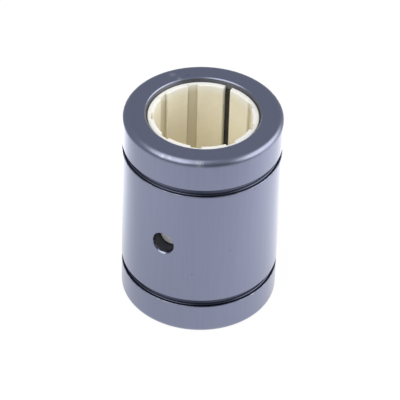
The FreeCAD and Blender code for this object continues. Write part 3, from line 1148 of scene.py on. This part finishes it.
@dataclass(frozen=True)
class SlottedLiner:
    """The moulded liner: pads and dirt grooves in the bore, a slit through the wall and a boss on the back.

    Its plan is one closed outline: along the bore from one wall of the slit to the other, and back round
    the outside. Outlines near a gap are worked out with the gap's centre line along +X, and then turned.

    Attributes:
        node: the frame's node that it stands for.
        pads: sliding pads round the bore.
        groove_width: of a dirt groove.
        groove_depth: below the pads.
        groove_crease: radius in a groove's corners.
        slit_width: of the slit.
        pad_edge: rounding of the pads' long edges.
        back_edge: rounding of the slit's outer edges.
        end_edge: rounding of both ends.
        pale_rim: how far below an end the wall still glows with the light that the end takes in.
        pale_fade: power of that glow's fade.
        boss_radius: of the boss.
        boss_edge: rounding of its top.
    """

    node: str = "slotted_liner"
    pads: int = 9
    groove_width: float = 1.7 * MM
    groove_depth: float = 0.42 * MM
    groove_crease: float = 0.08 * MM
    slit_width: float = 1.2 * MM
    pad_edge: float = 0.2 * MM
    back_edge: float = 0.12 * MM
    end_edge: float = 0.1 * MM
    pale_rim: float = 1.8 * MM
    pale_fade: float = 1.2
    boss_radius: float = 1.85 * MM
    boss_edge: float = 0.2 * MM

    # Cells of the plan: on rounded edges, pads, groove creases, groove floors and half the slit's wall
    arc_cells: int = 5
    pad_cells: int = 24
    crease_cells: int = 3
    floor_cells: int = 4
    slit_cells: int = 4

    # Cells up the wall: below the pale rim, in it and round the end's edge, and then across the end face
    run_cells: int = 10
    pale_cells: int = 5
    rim_cells: int = 4
    end_cells: int = 6

    # Cells in half the boss's window and from there to the boss, and rings on each of the boss's surfaces
    window_cells: int = 11
    web_cells: int = 3
    boss_rings: int = 6

    @property
    def pad_radius(self) -> float:
        """Radius of the pads, the shaft's running clearance included."""
        return mount("shaft_bore")["dims"]["r_mm"] * MM

    @property
    def back_radius(self) -> float:
        """Half the node's width."""
        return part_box(self.node)[1].x

    def rounding(self, half_gap: float, radius: float, reach: float, side: int) -> Array:
        """A rounded edge beside a gap, from the gap's wall to a circle about the shaft.

        The arc's centre is one radius beside the wall. The arc starts straight towards the gap.

        Args:
            half_gap: half the gap's width.
            radius: of the arc.
            reach: distance of its centre from the shaft's axis.
            side: 1 where it ends away from the shaft, and -1 where it ends towards it.

        Returns:
            Points of the arc.
        """
        aside = half_gap + radius
        centre = np.array([[math.sqrt(reach**2 - aside**2), aside]])
        start, end = np.array([[0.0, -radius]]), unit(centre) * radius * side
        turn = np.arccos(np.sum(unit(start) * unit(end), axis=1))
        return (centre[:, None] + swing(start, end, turn, self.arc_cells))[0]

    def pad_arc(self, half_gap: float) -> Array:
        """The rounded long edge of a pad beside a gap."""
        return self.rounding(half_gap, self.pad_edge, self.pad_radius + self.pad_edge, -1)

    def groove_half(self) -> Array:
        """Lays out half a dirt groove.

        Returns:
            Points from the middle of its floor to the pad.
        """
        floor, half = self.pad_radius + self.groove_depth, self.groove_width / 2
        arc = self.pad_arc(half)
        corners, radii = np.array([(floor, 0.0), (floor, half), arc[0]]), np.array([self.groove_crease])
        path = RoundedPath(corners, radii, self.crease_cells, self.floor_cells)
        return np.concatenate([path.points()[:-1], arc])

    def slit_half(self, arc: Array) -> Array:
        """Half the slit's wall, from its middle to the arc that rounds its edge, and that arc."""
        middle = np.array([(self.pad_radius + self.back_radius) / 2, self.slit_width / 2])
        return np.concatenate([np.linspace(middle, arc[0], self.slit_cells + 1)[:-1], arc])

    def pad_line(self, near: Array, far: Array, pitch: float) -> Array:
        """The bore's outline from the middle of one gap to the middle of the next.

        Args:
            near: half of the first gap, from its middle to the pad.
            far: half of the next gap, likewise.
            pitch: angle between the gaps.

        Returns:
            Points with the first gap's centre line along +X.
        """
        ahead = turn_plan(far[::-1] * [1, -1], pitch)
        start, end = (math.atan2(point[1], point[0]) for point in (near[-1], ahead[0]))
        angles = np.linspace(start, end, self.pad_cells + 1)[1:-1]
        pad = self.pad_radius * np.stack([np.cos(angles), np.sin(angles)], axis=1)
        return np.concatenate([near, pad, ahead])

    def bore_line(self) -> Array:
        """The bore's outline, with the slit along +X.

        Returns:
            Points once round, from the middle of one slit wall to the other.
        """
        groove, slit = self.groove_half(), self.slit_half(self.pad_arc(self.slit_width / 2))
        gaps = [slit, *[groove] * (self.pads - 1), slit]
        pitch = FULL_TURN / self.pads
        lines = [
            turn_plan(self.pad_line(near, far, pitch), number * pitch)
            for number, (near, far) in enumerate(zip(gaps[:-1], gaps[1:]))
        ]
        return np.concatenate([lines[0], *[line[1:] for line in lines[1:]]])

    def back_line(self, bore: Array) -> Array:
        """The outline of the back, point for point beside the bore's.

        Between the slit's edges the angles are those of the bore's points, stretched evenly so that they
        fill the wider arc of the back.

        Args:
            bore: the bore's outline.

        Returns:
            As many points as the bore's outline has.
        """
        reach = self.back_radius - self.back_edge
        edge = self.slit_half(self.rounding(self.slit_width / 2, self.back_edge, reach, 1))
        angles = np.unwrap(np.arctan2(bore[:, 1], bore[:, 0]))[len(edge) - 1 : 1 - len(edge)]
        start = math.atan2(edge[-1, 1], edge[-1, 0])
        angles = np.interp(angles, [angles[0], angles[-1]], [start, FULL_TURN - start])[1:-1]
        back = self.back_radius * np.stack([np.cos(angles), np.sin(angles)], axis=1)
        return np.concatenate([edge, back, edge[::-1] * [1, -1]])

    def add_sleeve(self, surface: Surface, bore: Array, back: Array, boss: RadialFeature) -> None:
        """Draws the plan along the shaft, rounds and closes both ends, and leaves the boss's window open.

        Args:
            surface: what the patches are added to.
            bore: outline of the bore.
            back: outline of the back.
            boss: the boss, whose window is left open.
        """
        # The plan as one ring, the way out of it at each point, its edges and the thin floors of its grooves
        ring = np.concatenate([bore, back[-2:0:-1]])
        ahead, behind = unit(np.roll(ring, -1, axis=0) - ring), unit(ring - np.roll(ring, 1, axis=0))
        away = unit(ahead + behind) @ np.array([[0, 1], [-1, 0]])
        bend = behind[:, 1] * ahead[:, 0] - behind[:, 0] * ahead[:, 1]
        edges = np.clip(bend / math.sin(EDGE_BEND), 0, 1)
        thin = np.clip((np.linalg.norm(ring, axis=1) - self.pad_radius) / self.groove_depth, 0, 1)
        slit_side = self.slit_cells + self.arc_cells + 1
        thin[:slit_side] = 0
        thin[len(bore) - slit_side :] = 0

        # Up the wall and round the end: level = top - edge (1 - sin lean), inset = edge (1 - cos lean)
        top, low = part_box(self.node)[1].z, boss.level + boss.half_height
        rim_low, rim_high = top - self.pale_rim, top - self.end_edge
        below = low + (rim_low - low) * ease(self.run_cells)
        straight = np.concatenate([below, np.linspace(rim_low, rim_high, self.pale_cells + 1)[1:]])
        lean = QUARTER_TURN * np.linspace(0, 1, self.rim_cells + 1)[1:]
        levels = np.concatenate([straight, top - self.end_edge * (1 - np.sin(lean))])
        inset = np.concatenate([np.zeros(len(straight)), self.end_edge * (1 - np.cos(lean))])
        closed = np.append(np.arange(len(ring)), 0)
        walls = stand(ring[None] - away[None] * inset[:, None, None], levels)[:, closed]
        rounded = (inset > 0)[:, None]
        # Painted glow: the end's paler colour fades down the wall below it
        pale = np.clip(1 - (top - levels) / self.pale_rim, 0, 1)[:, None] ** self.pale_fade
        # With the edge mark, the pad edges get a painted light line
        surface.add_mirrored(walls, boss.level, {
            Mark.EDGE: np.maximum(edges[None], rounded)[:, closed],
            Mark.THIN: (thin[None] * ~rounded)[:, closed],
            Mark.END: np.maximum(rounded, pale),
        })

        # The end face, straight across from the bore's rim to the back's
        rim, across, last = walls[-1], ease(self.end_cells)[:, None, None], len(bore) - 1
        back_rim = np.concatenate([rim[:1], rim[: last - 1 : -1][1:-1], rim[last : last + 1]])
        face = rim[: last + 1] * (1 - across) + back_rim * across
        surface.add_mirrored(face, boss.level, {Mark.END: 1.0})

        # The band at half length, from one side of the boss's window round the bore to the other
        middle, aside = (len(back) - 1) // 2, self.window_cells
        before, after = back[middle - aside : 0 : -1], back[-2 : middle + aside - 1 : -1]
        around = np.concatenate([before, bore, after])
        rows = boss.level + boss.half_height * np.linspace(-1, 1, 2 * aside + 1)
        band = stand(np.broadcast_to(around, (len(rows), *around.shape)), rows)
        beside = (len(before), len(after))
        thin, edges = (np.pad(mark[: len(bore)], beside) for mark in (thin, edges))
        surface.add_patch(band, {Mark.THIN: thin, Mark.EDGE: edges})

    def add_boss(self, surface: Surface, boss: RadialFeature) -> None:
        """Adds the web round the boss, its wall, its rounded edge and its flat top.

        The edge's radius is flat + edge cos(lean), and its reach is shoulder + edge sin(lean).

        Args:
            surface: what the patches are added to.
            boss: the boss's window and axis.
        """
        foot, reach = boss.circle(self.boss_radius), -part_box(self.node)[0].y
        shoulder, flat = reach - self.boss_edge, self.boss_radius - self.boss_edge
        share = np.linspace(0, 1, self.boss_rings)[:, None]
        lean = QUARTER_TURN * share
        wall = np.linspace(boss.wrap(foot, self.back_radius), boss.place(foot, shoulder), self.boss_rings)
        rounded = boss.place(
            boss.circle(flat + self.boss_edge * np.cos(lean)), shoulder + self.boss_edge * np.sin(lean)
        )
        surface.add_patch(boss.web(foot, self.back_radius, self.web_cells))
        surface.add_patch(wall)
        surface.add_patch(rounded, {Mark.BOSS: 1.0})
        surface.add_patch(boss.place(boss.circle(flat * (1 - share)), reach), {Mark.BOSS: 1.0})

    def build(self, finish: LinerPolymer, effects: Effects) -> bpy.types.Object:
        """Makes the liner and dresses it.

        Args:
            finish: the polymer's finish.
            effects: the node groups.

        Returns:
            The piece.
        """
        surface, bore = Surface(), self.bore_line()
        back = self.back_line(bore)
        low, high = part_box(self.node)
        edge = back[(len(back) - 1) // 2 - self.window_cells]
        half_angle = math.pi - math.atan2(edge[1], edge[0])
        level, half_height = (low.z + high.z) / 2, self.back_radius * half_angle
        boss = RadialFeature(level, half_angle, half_height, self.window_cells)
        self.add_sleeve(surface, bore, back, boss)
        self.add_boss(surface, boss)
        piece = surface.build("moulded_liner")
        dress(piece, finish.material(effects), self.node)
        return piece


@dataclass(frozen=True)
class Direction:
    """A direction seen from the bearing, in degrees: azimuth from -Y towards +X, and elevation."""

    azimuth: float
    elevation: float

    @property
    def vector(self) -> Vector:
        """The direction as a unit vector."""
        azimuth, elevation = math.radians(self.azimuth), math.radians(self.elevation)
        level = math.cos(elevation)
        return Vector((math.sin(azimuth) * level, -math.cos(azimuth) * level, math.sin(elevation)))


@dataclass(frozen=True)
class SkyPatch:
    """A round patch of the surroundings with a light of its own.

    Attributes:
        towards: its centre.
        inner: angle from the centre within which it is fully there, in degrees.
        outer: angle past which it is gone, in degrees.
        light: its radiance, as a colour.
    """

    towards: Direction
    inner: float
    outer: float
    light: Colour


@dataclass(frozen=True)
class FloorPool:
    """A soft pool of light on the floor, as the metal shows it.

    Attributes:
        azimuth: which way it lies, in degrees from -Y towards +X.
        distance: how far its centre is from the shaft's axis.
        radius: where it ends.
        brightness: what it adds at its centre, less than 0 where the floor is darker.
    """

    azimuth: float
    distance: float
    radius: float
    brightness: float


@dataclass(frozen=True)
class Studio:
    """A white table lit from below and pale surroundings, seen with the photograph's camera.

    Attributes:
        target: the height that the camera looks at.
        camera: where the camera stands.
        distance: how far away it stands.
        roll: its turn about its own line of sight, in degrees.
        focal_length: in millimetres.
        sensor: width of the camera's sensor, in millimetres.
        shift: sideways shift of the frame, as a share of its width.
        surroundings: light of the surroundings.
        patches: their brighter and darker parts.
        floor_near: brightness of the floor beside the bearing, as the metal shows it.
        floor_far: its brightness far away.
        floor_edge: distance at which it has fallen halfway.
        floor_fade: how far from that distance it begins and ends to fall.
        pools: pools of light on the floor.
        floor_glow: light that the translucent floor sends up into the bore.
        floor_paper: how much of the light on it the floor gives back.
        floor_shadow: how far the camera sees that, with its shadow, on the white floor.
        floor_size: side of the floor.
        backdrop: brightness of floor and background in the camera's eye, just past white.
        bounces: how often light may bounce about inside the pale liner.
    """

    target: float = 17.77 * MM
    camera: Direction = Direction(27.0, 39.61)
    distance: float = 384.3 * MM
    roll: float = 1.80
    focal_length: float = 209.2
    sensor: float = 36.0
    shift: float = -0.0017
    surroundings: Colour = tinted(COOL, 0.43)
    patches: tuple[SkyPatch, ...] = (
        SkyPatch(Direction(50, 8), 8, 38, tinted(COOL, 0.2)),
        SkyPatch(Direction(-45, 70), 10, 28, tinted(WARM, 1.8)),
        SkyPatch(Direction(-19, 42), 20, 32, tinted(WARM, 2.5)),
        SkyPatch(Direction(116, 18), 21, 45, tinted(WARM, 2.65)),
    )
    floor_near: float = 1.0
    floor_far: float = 0.46
    floor_edge: float = 79 * MM
    floor_fade: float = 18 * MM
    pools: tuple[FloorPool, ...] = (
        FloorPool(140, 46 * MM, 74 * MM, 0.42),
        FloorPool(125, 190 * MM, 150 * MM, 1.4),
        FloorPool(170, 40 * MM, 45 * MM, 0.1),
        FloorPool(-35, 50 * MM, 45 * MM, 0.07),
        FloorPool(50, 230 * MM, 190 * MM, -0.25),
        FloorPool(-145, 58 * MM, 67 * MM, 2.7),
        # Painted shadow of the bearing on the floor, as the metal mirrors it
        FloorPool(0, 0.0, 62 * MM, -0.18),
    )
    floor_glow: float = 0.5
    floor_paper: float = 0.92
    floor_shadow: float = 0.1
    floor_size: float = 4.0
    backdrop: float = 1.04
    bounces: int = 12

    def build(self) -> None:
        """Sets up camera, surroundings and floor."""
        self.place_camera()
        self.light_surroundings()
        self.lay_floor()
        bpy.context.scene.view_settings.view_transform = "Standard"
        bpy.context.scene.cycles.diffuse_bounces = self.bounces

    def place_camera(self) -> None:
        """Stands the camera at the photograph's angle and distance."""
        lens = bpy.data.cameras.new("photo_camera")
        lens.lens, lens.sensor_width, lens.shift_x = self.focal_length, self.sensor, self.shift

        # It sees from well before the bearing to well past the floor's edge
        lens.clip_start, lens.clip_end = self.distance / 20, self.floor_size * 4
        camera = bpy.data.objects.new("photo_camera", lens)
        eye = Vector((0, 0, self.target)) + self.camera.vector * self.distance
        camera.matrix_world = (
            Matrix.Translation(eye)
            @ Matrix.Rotation(math.radians(self.camera.azimuth), 4, "Z")
            @ Matrix.Rotation(math.radians(90 - self.camera.elevation), 4, "X")
            @ Matrix.Rotation(math.radians(self.roll), 4, "Z")
        )
        bpy.context.scene.collection.objects.link(camera)
        bpy.context.scene.camera = camera

    def light_surroundings(self) -> None:
        """Lights the world: white to the camera, and pale with brighter and darker patches to all else."""
        world = bpy.data.worlds.new("studio")
        world.use_nodes = True
        world.node_tree.nodes.clear()
        graph = NodeGraph(world.node_tree)
        way = graph.add("TexCoord").outputs["Generated"]
        light: Socket | Colour = self.surroundings
        for patch in self.patches:
            ends = {0: way, 1: patch.towards.vector}
            near = graph.add("VectorMath", ends, operation="DOT_PRODUCT").outputs["Value"]
            inner, outer = (math.cos(math.radians(angle)) for angle in (patch.inner, patch.outer))
            light = graph.blend(graph.spread(near, outer, inner), light, patch.light)
        seen = graph.add("LightPath").outputs["Is Camera Ray"]
        light = graph.blend(seen, light, tinted(WHITE, self.backdrop))
        sky = graph.add("Background", {"Color": light, "Strength": 1.0}).outputs[0]
        graph.add("OutputWorld", {"Surface": sky})
        bpy.context.scene.world = world

    def floor_light(self, graph: NodeGraph, place: Socket) -> Socket:
        """Works out the floor's brightness as the metal shows it: it fades with distance under its pools.

        Args:
            graph: the floor's graph.
            place: the Object coordinates.

        Returns:
            The brightness.
        """
        away = graph.add("VectorMath", {0: place}, operation="LENGTH").outputs["Value"]
        near, far = self.floor_edge - self.floor_fade, self.floor_edge + self.floor_fade
        light = graph.spread(away, near, far, self.floor_near, self.floor_far)
        for pool in self.pools:
            centre = Direction(pool.azimuth, 0).vector * pool.distance
            light = graph.math("ADD", light, graph.near(place, centre, pool.radius, pool.brightness))
        return light

    def lay_floor(self) -> None:
        """Lays the white floor, which keeps a faint shadow and is clear when looked at from below.

        The camera sees it white, the metal mirrors its pools of light, and other light meets glowing paper.
        """
        half = self.floor_size / 2
        mesh = bpy.data.meshes.new("floor")
        corners = [(-half, -half, 0), (half, -half, 0), (half, half, 0), (-half, half, 0)]
        mesh.from_pydata(corners, [], [(0, 1, 2, 3)])
        floor = bpy.data.objects.new("floor", mesh)
        bpy.context.scene.collection.objects.link(floor)

        material, graph, place = start_material("floor")
        path = graph.add("LightPath").outputs
        paper = graph.add("BsdfDiffuse", {"Color": tinted(WHITE, self.floor_paper)}).outputs[0]
        table = graph.add("AddShader", {0: paper, 1: graph.shine(self.floor_glow)}).outputs[0]
        mirrored = graph.shine(self.floor_light(graph, place))
        shadowed = graph.choose(self.floor_shadow, graph.shine(self.backdrop), paper)
        lit = graph.choose(path["Is Glossy Ray"], table, mirrored)
        lit = graph.choose(path["Is Camera Ray"], lit, shadowed)
        below = graph.add("NewGeometry").outputs["Backfacing"]
        clear = graph.add("BsdfTransparent").outputs[0]
        graph.add("OutputMaterial", {"Surface": graph.choose(below, lit, clear)})
        material.cycles.emission_sampling = "NONE"
        mesh.materials.append(material)


@dataclass(frozen=True)
class LinearPlainBearing:
    """The whole bearing: its two pieces with their finishes."""

    shell: AdapterShell = AdapterShell()
    liner: SlottedLiner = SlottedLiner()
    aluminium: AnodisedAluminium = AnodisedAluminium()
    polymer: LinerPolymer = LinerPolymer()

    def build(self) -> None:
        """Makes both pieces in turn."""
        effects = Effects()
        self.shell.build(self.aluminium, effects)
        self.liner.build(self.polymer, effects)


def main() -> None:
    """Sets up the studio and builds the bearing in it."""
    logging.basicConfig(level=logging.INFO, format="%(name)s %(message)s")
    Studio().build()
    LinearPlainBearing().build()


if __name__ == "__main__":
    main()
